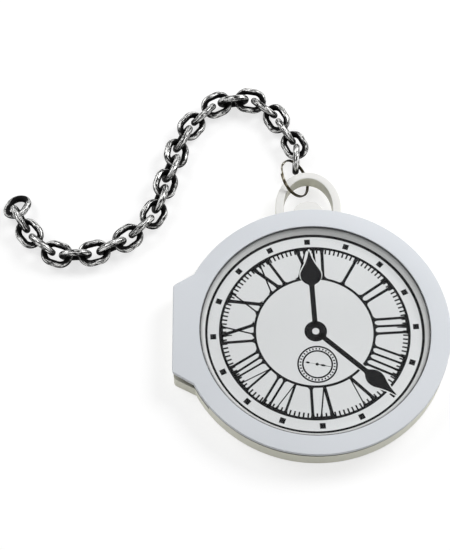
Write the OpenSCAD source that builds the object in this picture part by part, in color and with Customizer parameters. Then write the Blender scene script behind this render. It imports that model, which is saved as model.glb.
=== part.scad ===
// Giant pocket watch: a hinged plastic watch case on a split ring and a chain of oval links.
// Millimetres. The watch lies on its back: z = 0 is the table, the dial faces +Z, 12 o'clock is +Y.
// The origin is the centre of the flat back of the case.

/* [Case] */
// Outer radius of the round front frame
frame_r = 66.5; // [64:0.5:69]
// Height of the closed watch, back to front face
case_h = 14.3; // [14:0.1:16]
// Thickness of the front frame
frame_t = 2.5; // [2:0.1:3]
// Radius of the opening that shows the dial
aperture_r = 56.8; // [54:0.2:57.5]
// How far the rear shell stands inside the edge of the frame
shell_inset = 0.6; // [0.4:0.1:1]
// Thickness of the rear shell's side wall
shell_wall = 2.6; // [2:0.1:3]
// Thickness of the rear shell's floor
shell_floor = 2.2; // [1.6:0.1:2.4]
// Height of the line between rear shell and frame
seam = 0.3; // [0.2:0.1:0.5]

/* [Hinge tab at 9 o'clock] */
// Distance from the watch's centre to the straight edge of the tab
tab_reach = 69.9; // [69:0.1:71]
// Half the length of the tab's straight edge on the frame
tab_half = 23.5; // [22:0.5:25]
// Half the width of the tab where its slopes meet the round case
tab_shoulder = 30.5; // [29:0.5:32]
// Height of the rear shell's part of the tab
tab_h = 8.2; // [7.8:0.1:8.4]
// Radius of the hinge knuckles
knuckle_r = 2; // [1.8:0.05:2]
// Radius of the hinge pin
pin_r = 0.9; // [0.7:0.1:1]
// Half the length of the hinge
hinge_half = 19; // [17:0.5:20]

/* [Dial and lens] */
// Height of the dial's face
dial_z = 10; // [9.8:0.1:10.4]
// Thickness of the dial
dial_t = 0.8; // [0.6:0.1:1]
// Inner radius of the sloping ring round the dial
ring_inner_r = 54; // [52:0.5:55]
// Thickness of the lens
lens_t = 1.1; // [0.8:0.1:1.4]
// Thickness of the plate behind the dial
back_plate_t = 1.2; // [1:0.1:1.4]
// Number of screws in the back plate
screws = 6; // [4:1:8]

/* [Bow and crown] */
// Where the bow's middle lies to the side of the case's centre line
bow_x = -1.65; // [-2:0.05:0]
// Outer half width of the bow
bow_half_w = 16.65; // [15:0.05:18]
// Height of the bow's arch above the ends of its straight legs
bow_rise = 19.9; // [18:0.1:21]
// Distance from the watch's centre to the springing of the arch
bow_y = 70.4; // [69:0.1:72]
// Width of the band at the legs
bow_side = 4.2; // [3.6:0.1:4.6]
// Width of the band at the top
bow_top = 3.7; // [3.2:0.1:4.2]
// Lowest point of the bow
bow_z = 2.5; // [2.3:0.1:2.8]
// Depth of the bow's flat band, back to front
bow_depth = 8.3; // [7:0.1:8.6]
// Radius of the half round crown
crown_r = 8; // [7:0.1:8.2]

/* [Split ring] */
// Radius to the middle of the ring's band
ring_r = 10; // [9.8:0.1:10.2]
// Width of one coil of the flat wire
coil = 0.8; // [0.7:0.05:0.85]

/* [Chain] */
// Diameter of the link wire
wire_d = 3.6; // [3.4:0.1:3.7]
// Length of a link over all
link_l = 17; // [16.8:0.1:17.4]
// Width of a link over all
link_w = 13.3; // [13:0.1:13.8]
// Play between two linked crowns
play = 0.27; // [0.25:0.01:0.5]
// Extra play per degree where the chain bends to the left, over the side it leans to
bend_play = 0.02; // [0.015:0.001:0.03]

/* [Hidden] */
$fn = 96;
eps = 0.01;
fit = 0.05;

// Case heights
frame_z = case_h - frame_t;
shell_h = frame_z - seam;
shell_r = frame_r - shell_inset;
foot_round = 2;
frame_round = 0.4;
tab_chamfer = 0.4;
// The frame's edge is cut back below, over a shadow gap round the rim of the shell
frame_undercut = 1;
tab_undercut = 0.8;
gap_depth = 0.8;
gap_h = 1.2;

// Hinge: the axis lies under the frame's edge, so the frame's edge meets the tab just past upright
hinge_x = -67.6;
hinge_z = 9.6;
knuckle_gap = 0.3;
knuckle_split = [3.75, 11.35];
pocket_r = 2.75;
pin_play = 0.05;

// The sandwich behind the lens
lens_z = case_h - 0.1 - lens_t;
lens_r = aperture_r - 0.2;
rehaut_flange_r = 58.6;
skirt_r = 61.8;
skirt_t = 2.8;
skirt_z = dial_z - dial_t;
back_plate_z = skirt_z - back_plate_t;
screw_ring_r = 60.3;
screw_r = 0.7;
screw_head_r = 1.1;

// Bow
bow_steps = 48;
bow_leg_end = 62.6;
crown_y = 65.2;

// Split ring: the middle of the ring, the azimuth it leans to and how far it leans
ring_at = [-8.1, 88, 8.3];
ring_azimuth = 4;
ring_lean = 47;

// Chain: the first link's place, then each link's heading and its lean out of flat, in degrees,
// laid by hand along the table from the ring to the free end
first_link = [-7.1, 100.5];
headings = [
    87, 115, 120, 119, 140, 170, 188, 208, 226, 231, 245, 260, 252,
    254, 254, 241, 226, 219, 207, 196, 183, 160, 139, 128, 118, 70
];
leans = [
    0, 10, 20, 25, 25, 20, 15, 20, 25, 25, 25, 25, 30,
    30, 25, 25, 25, 20, 15, 15, 15, 20, 20, 20, 15, 15
];
link_count = len(headings);
wire_r = wire_d / 2;
crown_at = (link_l - wire_d) / 2;
bar_at = (link_w - wire_d) / 2;
bar_half = crown_at - bar_at;
open_link_drop = 0.3;
// The free end link tips down until its far end lies on the table
end_dip = 17;

function heading(i) = [cos(headings[i]), sin(headings[i])];
// Links alternate: even ones stand on edge on the table, odd ones lie open and hang between them
function stands(i) = i % 2 == 0;
// From one link's middle to the next one's: out to the crown, back by a wire and the play, out again.
// An open link turns flat about the upright wire at each of its ends, so the step back lies along it
function stride(i) =
    crown_at * (heading(i) + heading(i + 1)) - (wire_d + slack(i)) * heading(stands(i) ? i + 1 : i);
function slack(i) = play + bend_play * max(0, headings[i + 1] - headings[i]);
function link_xy(i) = i == 0 ? first_link : link_xy(i - 1) + stride(i - 1);
function roll(i) = stands(i) ? -90 - leans[i] : -leans[i];
function link_z(i) = wire_r + bar_at * cos(leans[i]) - (stands(i) ? 0 : open_link_drop);
function dip(i) = i == link_count - 1 ? end_dip : 0;
function link_name(i) = str("link_", i < 9 ? "0" : "", i + 1);

// Points of an arc from angle a to angle b
function arc(centre, r, a, b, steps = 8) =
    [for (k = [0 : steps]) centre + r * [cos(a + (b - a) * k / steps), sin(a + (b - a) * k / steps)]];

// The tab seen from above: a straight outer edge, two rounded corners and two slopes
module tab_outline(reach, half, shoulder, corner = 3) {
    root_x = -58.5;
    slope = atan2(shoulder - half, reach + root_x);
    centre = [-reach + corner, half + corner * tan(slope) - corner / cos(slope)];
    upper = arc(centre, corner, 180, 90 + slope);
    lower = [for (k = [len(upper) - 1 : -1 : 0]) [upper[k].x, -upper[k].y]];
    polygon(concat([[root_x + 4, -shoulder + 2], [root_x, -shoulder]], lower,
                   upper, [[root_x, shoulder], [root_x + 4, shoulder - 2]]));
}

// Cuts a 45 degree bevel along the tab's three outer edges, at height z, facing up or down
module tab_bevels(reach, half, shoulder, size, z, up = true) {
    slope = atan2(shoulder - half, reach - 58.5);
    turn = up ? 0 : 180;
    translate([-reach, 0, z]) rotate([0, 45, 0])
        cube([size * sqrt(2), 4 * half, size * sqrt(2)], center = true);
    for (side = [-1, 1])
        translate([-reach, side * half, z]) rotate([turn, 0, side * slope]) rotate([45, 0, 0])
            cube([80, size * sqrt(2), size * sqrt(2)], center = true);
}

// One length of hinge barrel along Y
module barrel(y0, y1, r) {
    translate([hinge_x, y0, hinge_z]) rotate([-90, 0, 0]) cylinder(r = r, h = y1 - y0);
}

// Knuckles of the rear shell: the middle one and the two at the ends
shell_knuckles = [
    [-hinge_half, -knuckle_split[1]], [-knuckle_split[0], knuckle_split[0]], [knuckle_split[1], hinge_half]
];
// Knuckles of the front frame, between those of the shell
frame_knuckles = [
    [-knuckle_split[1] + knuckle_gap, -knuckle_split[0] - knuckle_gap],
    [knuckle_split[0] + knuckle_gap, knuckle_split[1] - knuckle_gap]
];

// The bow seen from above: half an oval on two straight legs that reach into the case wall
module bow_outline(grow = 0) {
    inner_w = bow_half_w - bow_side - grow;
    outer = [for (k = [0 : bow_steps])
        [(bow_half_w + grow) * cos(180 * k / bow_steps), (bow_rise + grow) * sin(180 * k / bow_steps)]];
    inner = [for (k = [bow_steps : -1 : 0])
        [inner_w * cos(180 * k / bow_steps), (bow_rise - bow_top - grow) * sin(180 * k / bow_steps)]];
    leg = bow_leg_end - bow_y - grow;
    translate([bow_x, bow_y]) polygon(concat(
        [[bow_half_w + grow, leg]], outer, [[-bow_half_w - grow, leg], [-inner_w, leg]],
        inner, [[inner_w, leg]]));
}

module bow_body(grow = 0) {
    translate([0, 0, bow_z - grow]) linear_extrude(bow_depth + 2 * grow) bow_outline(grow);
}

// Round tray of the rear shell, with its outer bottom edge rounded and its rim stepped in
module tray_profile() {
    difference() {
        union() {
            square([shell_r - foot_round, shell_h]);
            translate([0, foot_round]) square([shell_r, shell_h - foot_round]);
            translate([shell_r - foot_round, foot_round]) circle(r = foot_round);
        }
        translate([shell_r - gap_depth, shell_h - gap_h]) square([2 * gap_depth, 2 * gap_h]);
        translate([-1, shell_floor]) square([1 + shell_r - shell_wall, shell_h]);
    }
}

module rear_shell() color("ivory") {
    reach = tab_reach - shell_inset;
    half = tab_half + 0.8;
    inside_x = 2.7;
    difference() {
        union() {
            rotate_extrude() tray_profile();
            // Tab: floor and outer wall, open above between the wall and the round tray
            difference() {
                linear_extrude(tab_h) tab_outline(reach, half, tab_shoulder - 0.5);
                tab_bevels(reach, half, tab_shoulder - 0.5, tab_chamfer, 0, false);
                translate([0, 0, shell_floor]) linear_extrude(tab_h)
                    tab_outline(reach - inside_x, half - 2.4, tab_shoulder - 2.4, 1.5);
                translate([0, 0, shell_floor]) cylinder(r = shell_r - eps, h = tab_h);
            }
            for (k = shell_knuckles) {
                barrel(k[0], k[1], knuckle_r);
                translate([hinge_x - 1.2, k[0], tab_h - 2]) cube([2.4, k[1] - k[0], hinge_z - tab_h + 2]);
            }
            // Two ribs carry the middle of the hinge back to the tray wall
            for (y = [-3, 1.6]) translate([hinge_x, y, shell_floor - eps]) cube([3.6, 1.4, 5]);
        }
        for (k = frame_knuckles) barrel(k[0] - knuckle_gap, k[1] + knuckle_gap, pocket_r);
        barrel(-hinge_half - 1, hinge_half + 1, pin_r - 0.02);
        bow_body(fit);
        translate([bow_x, crown_y, bow_z - fit]) cylinder(r = crown_r * 0.5 + fit, h = bow_depth + 2 * fit);
    }
}

module hinge_pin() color("silver") barrel(-hinge_half, hinge_half, pin_r);

module bow() color("whitesmoke") bow_body();

// Half round crown: its flat side lies on the case wall and a plug enters it
module crown() color("whitesmoke") {
    difference() {
        translate([bow_x, crown_y, bow_z]) cylinder(r = crown_r, h = bow_depth);
        translate([0, 0, bow_z - 1]) cylinder(r = shell_r + fit, h = bow_depth + 2);
    }
    intersection() {
        translate([bow_x, crown_y, bow_z]) cylinder(r = crown_r * 0.5, h = bow_depth);
        translate([bow_x - crown_r, shell_r - 1.6, bow_z]) cube([2 * crown_r, 3, bow_depth]);
    }
}

// Front frame: flat ring with an undercut outer edge, the tab, a skirt behind and two knuckles
module frame_profile() {
    polygon([
        [aperture_r, frame_z], [frame_r - frame_undercut, frame_z], [frame_r, frame_z + frame_undercut],
        [frame_r, case_h - frame_round], [frame_r - frame_round, case_h], [aperture_r, case_h]
    ]);
    translate([frame_r - frame_round, case_h - frame_round]) circle(r = frame_round);
    translate([skirt_r - skirt_t, skirt_z]) square([skirt_t, frame_z - skirt_z + eps]);
}

module front_frame() color("lavender") {
    difference() {
        union() {
            rotate_extrude() frame_profile();
            difference() {
                translate([0, 0, frame_z]) linear_extrude(frame_t)
                    tab_outline(tab_reach, tab_half, tab_shoulder);
                tab_bevels(tab_reach, tab_half, tab_shoulder, tab_chamfer, case_h);
                tab_bevels(tab_reach, tab_half, tab_shoulder, tab_undercut, frame_z, false);
                translate([0, 0, frame_z - 1]) cylinder(r = aperture_r + 2, h = frame_t + 2);
            }
            for (k = frame_knuckles) {
                barrel(k[0], k[1], knuckle_r);
                translate([hinge_x - 1.2, k[0], hinge_z]) cube([2.4, k[1] - k[0], frame_z - hinge_z + eps]);
            }
        }
        barrel(-hinge_half - 1, hinge_half + 1, pin_r + pin_play);
        at_screws() cylinder(r = screw_r, h = 2.2);
    }
}

module at_screws() {
    for (k = [0 : screws - 1]) rotate(30 + 360 * k / screws)
        translate([screw_ring_r, 0, skirt_z]) children();
}

module window_lens() color("aliceblue", 0.5) {
    translate([0, 0, lens_z]) cylinder(r = lens_r, h = lens_t);
}

// Sloping ring between dial and lens, with a flange held behind the frame
module rehaut_ring() color("gray") rotate_extrude() polygon([
    [ring_inner_r, dial_z], [rehaut_flange_r, dial_z], [rehaut_flange_r, frame_z],
    [lens_r, frame_z], [lens_r, lens_z], [lens_r - 0.5, lens_z]
]);

module dial_disc() color("gainsboro") {
    translate([0, 0, dial_z - dial_t]) cylinder(r = rehaut_flange_r, h = dial_t);
}

module lid_back_plate() color("whitesmoke") difference() {
    translate([0, 0, back_plate_z]) cylinder(r = skirt_r, h = back_plate_t);
    at_screws() translate([0, 0, -back_plate_t - 1]) cylinder(r = screw_r + 0.1, h = back_plate_t + 2);
    at_screws() translate([0, 0, -back_plate_t - 0.1]) cylinder(r1 = screw_head_r + 0.2, r2 = screw_r - 0.1, h = 0.9);
}

// Countersunk screws through the back plate into the skirt
module lid_screws() color("silver") at_screws() translate([0, 0, -back_plate_t]) {
    cylinder(r1 = screw_head_r, r2 = screw_r, h = 0.6);
    cylinder(r = screw_r - 0.02, h = back_plate_t + 2);
}

// Two turns of flat wire side by side, each with its end cut, one on either side of the other
module split_ring() color("silver")
    translate(ring_at) rotate([0, 0, ring_azimuth]) rotate([0, ring_lean, 0])
        for (side = [-1, 1]) difference() {
            rotate_extrude() translate([ring_r - coil / 2, side * coil / 2 - coil / 2]) square(coil);
            rotate(180 + 14 * side) translate([ring_r - coil, -0.2, side > 0 ? coil * 0.3 : -coil])
                cube([2 * coil, 0.4, coil * 0.7]);
        }

// An oval link of round wire: two half round crowns joined by two short bars
module oval_link() {
    for (end = [0, 180]) rotate(end) translate([bar_half, 0, 0])
        rotate(-90) rotate_extrude(angle = 180) translate([bar_at, 0]) circle(r = wire_r);
    for (side = [-1, 1]) translate([-bar_half, side * bar_at, 0])
        rotate([0, 90, 0]) cylinder(r = wire_r, h = 2 * bar_half);
}

module chain_link(i) color("dimgray")
    translate([link_xy(i).x, link_xy(i).y, link_z(i)]) rotate([0, 0, headings[i]])
        translate([-crown_at, 0, 0]) rotate([0, dip(i), 0]) translate([crown_at, 0, 0])
            rotate([roll(i), 0, 0]) oval_link();

rear_shell();
hinge_pin();
bow();
crown();
front_frame();
window_lens();
rehaut_ring();
dial_disc();
lid_back_plate();
lid_screws();
split_ring();
for (i = [0 : link_count - 1]) chain_link(i);
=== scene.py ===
import math

import bmesh
import bpy
import numpy as np
from mathutils import Matrix, Vector


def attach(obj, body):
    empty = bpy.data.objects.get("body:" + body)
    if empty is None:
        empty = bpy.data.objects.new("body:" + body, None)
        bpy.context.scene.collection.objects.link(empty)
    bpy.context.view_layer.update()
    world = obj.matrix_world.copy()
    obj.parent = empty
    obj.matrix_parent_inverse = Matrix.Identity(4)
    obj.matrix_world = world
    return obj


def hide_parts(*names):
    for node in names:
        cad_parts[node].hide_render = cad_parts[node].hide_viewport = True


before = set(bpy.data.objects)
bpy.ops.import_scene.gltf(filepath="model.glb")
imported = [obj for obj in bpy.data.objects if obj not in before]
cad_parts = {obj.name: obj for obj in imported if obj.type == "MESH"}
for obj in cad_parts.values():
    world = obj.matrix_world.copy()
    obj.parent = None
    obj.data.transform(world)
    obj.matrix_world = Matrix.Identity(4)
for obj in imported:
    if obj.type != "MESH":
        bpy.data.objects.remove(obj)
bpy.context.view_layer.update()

# ---------------------------------------------------------------- camera
# The photograph looks down at the watch from in front of it, 63 degrees above the table,
# through a long lens. The place, the three axes and the lens were fitted to the photograph.
MM = 0.001


def in_scene(name, data):
    """A new object of the scene that shows a camera, a lamp or a mesh."""
    made = bpy.data.objects.new(name, data)
    bpy.context.scene.collection.objects.link(made)
    return made


camera_at = Vector((-43.40, -374.671, 800.126)) * MM
camera_right = Vector((0.99999556, -0.00216, -0.00205))
camera_up = Vector((0.00286, 0.88944, 0.45705))
camera_back = Vector((0.00083, -0.45705, 0.88944))
photo_view = bpy.data.cameras.new("photo_view")
photo_view.lens = 116.31
photo_view.sensor_width = 36.0
photo_view.clip_start = 0.02
photo_view.clip_end = 20.0
camera = in_scene("photo_view", photo_view)
camera.matrix_world = Matrix.Translation(camera_at) @ Matrix(
    (camera_right, camera_up, camera_back)).transposed().to_4x4()
bpy.context.scene.camera = camera
bpy.context.scene.view_settings.view_transform = "Standard"

# ---------------------------------------------------------------- studio
# Two big soft lamps behind and above the watch, left and right, and a dim sky round them that
# lights it from all sides. The camera, the metals and the glass see that sky as white.
SKY_TOP = (0.20, 0.20, 0.205, 1.0)
SKY_MIDDLE = (0.40, 0.40, 0.405, 1.0)
SKY_LOW = (0.36, 0.355, 0.34, 1.0)
WHITE = (1.0, 1.0, 1.0, 1.0)
LAMP_COLOUR = (1.0, 1.0, 1.0)
LAMP_AIM = (-0.03, 0.03, 0.0)


def bare_tree(owner):
    """The emptied node tree of a world or a material."""
    owner.use_nodes = True
    owner.node_tree.nodes.clear()
    return owner.node_tree


def feed(node, feeds):
    """Feeds a node's inputs from sockets or plain values."""
    for name, value in feeds.items():
        if isinstance(value, bpy.types.NodeSocket):
            node.id_data.links.new(value, node.inputs[name])
        else:
            node.inputs[name].default_value = value


def step(tree, kind, feeds=None, **settings):
    """Adds a node, sets it up and feeds it."""
    added = tree.nodes.new(kind)
    for name, value in settings.items():
        setattr(added, name, value)
    feed(added, feeds or {})
    return added


def calculate(operation, *values):
    """One Math node over sockets and numbers; returns its value."""
    tree = next(v for v in values if isinstance(v, bpy.types.NodeSocket)).id_data
    return step(tree, "ShaderNodeMath", dict(enumerate(values)), operation=operation).outputs[0]


def ramp(value, stops):
    """A Color Ramp over (place, colour) stops, fed by a socket."""
    band = step(value.id_data, "ShaderNodeValToRGB", {"Fac": value})
    marks = band.color_ramp.elements
    while len(marks) < len(stops):
        marks.new(0.5)
    for mark, (place, colour) in zip(marks, stops):
        mark.position = place
        mark.color = colour
    return band.outputs["Color"]


def seen_or_mirrored(tree):
    """1 for rays from the camera, metal or glass, and 0 for light that falls on things."""
    ray = step(tree, "ShaderNodeLightPath").outputs
    direct = calculate("ADD", ray["Is Camera Ray"], ray["Is Glossy Ray"])
    return calculate("ADD", direct, ray["Is Transmission Ray"])


sky = bpy.data.worlds.new("studio_sky")
bpy.context.scene.world = sky
sky_tree = bare_tree(sky)
looking = step(sky_tree, "ShaderNodeTexCoord").outputs["Generated"]
height = step(sky_tree, "ShaderNodeSeparateXYZ", {"Vector": looking}).outputs["Z"]
sky_colour = ramp(height, [(0.0, SKY_LOW), (0.25, SKY_LOW), (0.5, SKY_MIDDLE), (0.82, SKY_TOP)])
sky_light = step(sky_tree, "ShaderNodeBackground", {"Color": sky_colour, "Strength": 1.0})
sky_white = step(sky_tree, "ShaderNodeBackground", {"Color": WHITE, "Strength": 1.0})
sky_mix = step(sky_tree, "ShaderNodeMixShader", {
    0: seen_or_mirrored(sky_tree), 1: sky_light.outputs[0], 2: sky_white.outputs[0]})
step(sky_tree, "ShaderNodeOutputWorld", {"Surface": sky_mix.outputs[0]})


def soft_lamp(name, at, size, watts):
    """A round lamp that faces the watch."""
    lamp = bpy.data.lights.new(name, "AREA")
    lamp.shape = "DISK"
    lamp.size = size
    lamp.energy = watts
    lamp.color = LAMP_COLOUR
    place = Vector(at)
    turn = (place - Vector(LAMP_AIM)).to_track_quat("Z", "Y")
    in_scene(name, lamp).matrix_world = Matrix.Translation(place) @ turn.to_matrix().to_4x4()


soft_lamp("left_lamp", at=(-0.86, 0.52, 1.03), size=0.85, watts=7.3)
soft_lamp("right_lamp", at=(0.50, 0.40, 0.60), size=0.52, watts=5.25)

# ---------------------------------------------------------------- table
# A plain white sheet under the watch. The camera sees it lifted to white, with the shadows kept,
# and metal and glass see it lifted about half as much.
TABLE_HALF = 2.0
TABLE_Z = -0.0004
PAPER_SEEN = (0.38, 0.38, 0.38, 1)
GLOW_MIRRORED = 0.34
GLOW_SEEN = 0.36


def blended(share, first, second):
    """Mixes two colours, by a socket."""
    feeds = {0: share, 6: first, 7: second}
    return step(share.id_data, "ShaderNodeMix", feeds, data_type="RGBA").outputs[2]


table_mesh = bpy.data.meshes.new("table_sheet")
table_mesh.from_pydata([
    (-TABLE_HALF, -TABLE_HALF, TABLE_Z), (TABLE_HALF, -TABLE_HALF, TABLE_Z),
    (TABLE_HALF, TABLE_HALF, TABLE_Z), (-TABLE_HALF, TABLE_HALF, TABLE_Z)], [], [(0, 1, 2, 3)])
table_sheet = in_scene("table_sheet", table_mesh)
paper = bpy.data.materials.new("table_paper")
paper_tree = bare_tree(paper)
paper_grain = step(paper_tree, "ShaderNodeTexNoise", {"Scale": 40.0, "Detail": 3.0})
paper_tone = ramp(paper_grain.outputs["Fac"], [
    (0.3, (0.79, 0.79, 0.785, 1)), (0.7, (0.81, 0.81, 0.805, 1))])
paper_eye = step(paper_tree, "ShaderNodeLightPath").outputs["Is Camera Ray"]
paper_matt = step(paper_tree, "ShaderNodeBsdfDiffuse", {
    "Color": blended(paper_eye, paper_tone, PAPER_SEEN)})
paper_glow = calculate("MULTIPLY", seen_or_mirrored(paper_tree), GLOW_MIRRORED)
paper_glow = calculate("MULTIPLY_ADD", paper_eye, GLOW_SEEN, paper_glow)
paper_lift = step(paper_tree, "ShaderNodeEmission", {"Strength": paper_glow})
paper_sum = step(paper_tree, "ShaderNodeAddShader", {
    0: paper_matt.outputs[0], 1: paper_lift.outputs[0]})
step(paper_tree, "ShaderNodeOutputMaterial", {"Surface": paper_sum.outputs[0]})
table_mesh.materials.append(paper)

# ---------------------------------------------------------------- rear shell
# The tray of the case with its hinge tab: injection moulded ivory plastic, smooth, with the
# faint orange peel and cloudiness that such mouldings have. Its shape is the CAD solid's own.
IVORY = (0.84, 0.835, 0.71, 1.0)
IVORY_PALE = (0.89, 0.885, 0.77, 1.0)
SHELL_PAINTED_SHADE = (0.05, 0.05, 0.038, 1)
SOFT_EDGE = 0.15 * MM
JOINED_WITHIN = 2e-6
GENTLE_BEND = math.radians(32)


def surface(name):
    """A new material, its one Principled shader, and its texture coordinates."""
    made = bpy.data.materials.new(name)
    tree = bare_tree(made)
    shader = step(tree, "ShaderNodeBsdfPrincipled")
    step(tree, "ShaderNodeOutputMaterial", {"Surface": shader.outputs[0]})
    return made, shader, step(tree, "ShaderNodeTexCoord").outputs


def grain(place, scale, detail, **more):
    """Noise over a place, from 0 to 1."""
    feeds = {"Vector": place, "Scale": scale, "Detail": detail, **more}
    return step(place.id_data, "ShaderNodeTexNoise", feeds).outputs["Fac"]


def mapped(value, start, end, to_start=0.0, to_end=1.0):
    """Carries a value from one range to another, and holds it inside."""
    return step(value.id_data, "ShaderNodeMapRange", {
        "Value": value, "From Min": start, "From Max": end,
        "To Min": to_start, "To Max": to_end}).outputs[0]


def bumped(height_field, strength, depth):
    """A normal tilted by a height field that is depth millimetres deep."""
    return step(height_field.id_data, "ShaderNodeBump", {
        "Height": height_field, "Strength": strength, "Distance": depth * MM}).outputs[0]


def vector_step(operation, *values, result=0):
    """One Vector Math node over a socket and other vectors; returns one of its results."""
    added = step(values[0].id_data, "ShaderNodeVectorMath", dict(enumerate(values)),
                 operation=operation)
    return added.outputs[result]


def axis_distance(place):
    """How far a point lies from the watch's middle line."""
    flat = vector_step("MULTIPLY", place, (1.0, 1.0, 0.0))
    return vector_step("LENGTH", flat, result="Value")


def between(value, low, high):
    """1 where a length in metres lies between low and high, 0 elsewhere, with soft edges."""
    return calculate(
        "MULTIPLY", mapped(value, low - SOFT_EDGE, low), mapped(value, high + SOFT_EDGE, high))


def paint_shade(shader, place, colour, zones):
    """Blends the base colour to a painted shade colour inside zones: (low, high) in mm for x, z and
    radius.
    """
    axes = step(place.id_data, "ShaderNodeSeparateXYZ", {"Vector": place}).outputs
    measures = (axes["X"], axes["Z"], axis_distance(place))
    total = 0.0
    for zone in zones:
        share = 1.0
        for measure, (low, high) in zip(measures, zone):
            share = calculate("MULTIPLY", between(measure, low * MM, high * MM), share)
        total = calculate("MAXIMUM", share, total)
    clean = shader.inputs["Base Color"].links[0].from_socket
    feed(shader, {"Base Color": blended(total, clean, colour)})


def moulded_plastic(name, dark, pale, roughness, cloud=18.0, painted_shade=None, zones=()):
    """Moulded plastic: cloudy colour, slightly uneven gloss and a fine orange peel, with painted
    shade in any zones given.
    """
    made, shader, coords = surface(name)
    place = coords["Object"]
    clouds = grain(place, cloud, 3.0)
    specks = grain(place, 2600.0, 2.0)
    blend = calculate("MULTIPLY_ADD", specks, 0.2, calculate("MULTIPLY", clouds, 0.8))
    feed(shader, {
        "Base Color": ramp(blend, [(0.36, dark), (0.64, pale)]),
        "Roughness": mapped(clouds, 0.0, 1.0, roughness - 0.04, roughness + 0.05),
        "Normal": bumped(grain(place, 900.0, 2.0), strength=0.25, depth=0.012),
        "Specular IOR Level": 0.3})
    if zones:
        paint_shade(shader, place, painted_shade, zones)
    return made


def piece_from(shape, name, material):
    """Ends a bmesh as an object with one material."""
    mesh = bpy.data.meshes.new(name)
    shape.to_mesh(mesh)
    shape.free()
    mesh.materials.append(material)
    return in_scene(name, mesh)


def smooth_copy(node, name, material, body):
    """A joined copy of a CAD node with smooth shading across gentle bends, shown in its place."""
    shape = bmesh.new()
    shape.from_mesh(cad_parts[node].data)
    bmesh.ops.remove_doubles(shape, verts=shape.verts, dist=JOINED_WITHIN)
    for face in shape.faces:
        face.smooth = True
    for edge in shape.edges:
        edge.smooth = len(edge.link_faces) == 2 and edge.calc_face_angle(0.0) <= GENTLE_BEND
    piece = piece_from(shape, name, material)
    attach(piece, body)
    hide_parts(node)
    return piece


# Painted shade: dark in the gap under the frame, and on top of and at the wall inside the tab
ivory_plastic = moulded_plastic(
    "ivory_plastic", IVORY, IVORY_PALE, roughness=0.36, painted_shade=SHELL_PAINTED_SHADE,
    zones=[((-80, 80), (10.35, 12), (64.6, 80)), ((-80, -52), (8.3, 12), (0, 80)),
           ((-80, -59.5), (2.4, 12), (64, 66.1))])
shell_tray = smooth_copy("rear_shell", "shell_tray", ivory_plastic, "case")

# ---------------------------------------------------------------- hinge pin
# A drawn steel pin pressed through the shell's knuckles; the frame's knuckles turn on it. It is
# plain, with fine lines along it, and the CAD solid is shown as it is.
drawn_steel, steel_shader, steel_coords = surface("drawn_steel")
steel_map = step(drawn_steel.node_tree, "ShaderNodeMapping", {
    "Vector": steel_coords["Object"], "Scale": (900.0, 30.0, 900.0)})
steel_lines = grain(steel_map.outputs[0], 2.0, 2.0)
feed(steel_shader, {
    "Base Color": ramp(steel_lines, [(0.3, (0.42, 0.42, 0.43, 1)), (0.7, (0.62, 0.62, 0.63, 1))]),
    "Metallic": 1.0, "Roughness": 0.32})


def finish_node(name, material):
    """Gives a CAD node its material."""
    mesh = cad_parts[name].data
    mesh.materials.clear()
    mesh.materials.append(material)


finish_node("hinge_pin", drawn_steel)

# ---------------------------------------------------------------- bow
# The moulded loop over the crown: an oval band, wider at its legs, with rounded edges. Its face
# is coloured whiter and its sides ivory, as painted light and shade, and its inner sides carry
# painted shade where they face left or right; its legs go into the case wall.
BOW_X = -1.65
BOW_Y = 70.4
BOW_HALF_WIDTH = 16.65
BOW_RISE = 19.9
BOW_SIDE = 4.2
BOW_TOP = 3.7
BOW_LOW = 2.5
BOW_HIGH = 10.8
BOW_LEG_Y = (62.7, 66.0, 68.5)
BOW_EDGE = 0.5
BOW_STEPS = 96
EDGE_STEPS = 6
BOW_WHITE = (0.765, 0.763, 0.74, 1)
BOW_WHITE_PALE = (0.81, 0.808, 0.785, 1)
BOW_PAINTED_SHADE = (0.42, 0.41, 0.355, 1)


def bow_stations():
    """Pairs of inner and outer points along the band, from the right leg to the left leg."""
    inner_half = BOW_HALF_WIDTH - BOW_SIDE
    pairs = [((inner_half, y - BOW_Y), (BOW_HALF_WIDTH, y - BOW_Y)) for y in BOW_LEG_Y]
    for k in range(BOW_STEPS + 1):
        a = math.pi * k / BOW_STEPS
        pairs.append(((inner_half * math.cos(a), (BOW_RISE - BOW_TOP) * math.sin(a)),
                      (BOW_HALF_WIDTH * math.cos(a), BOW_RISE * math.sin(a))))
    for y in BOW_LEG_Y[::-1]:
        pairs.append(((-inner_half, y - BOW_Y), (-BOW_HALF_WIDTH, y - BOW_Y)))
    return pairs


def band_section(width, low, high, edge):
    """Outline of the band cut across: a box with round edges, as (across, z) points."""
    points = []
    for centre_x, centre_z, start in (
            (width - edge, low + edge, 270), (width - edge, high - edge, 0),
            (edge, high - edge, 90), (edge, low + edge, 180)):
        for k in range(EDGE_STEPS + 1):
            a = math.radians(start + 90 * k / EDGE_STEPS)
            points.append((centre_x + edge * math.cos(a), centre_z + edge * math.sin(a)))
    return points


def lofted(name, rings, material):
    """A closed tube of quads through rings of points, with both ends closed, shaded smooth."""
    shape = bmesh.new()
    rows = [[shape.verts.new(Vector(p) * MM) for p in ring] for ring in rings]
    count = len(rows[0])
    for row, after in zip(rows, rows[1:]):
        for k in range(count):
            shape.faces.new((row[k], row[(k + 1) % count], after[(k + 1) % count], after[k]))
    shape.faces.new(rows[0])
    shape.faces.new(rows[-1][::-1])
    bmesh.ops.recalc_face_normals(shape, faces=shape.faces)
    for face in shape.faces:
        face.smooth = len(face.verts) == 4
    return piece_from(shape, name, material)


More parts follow.
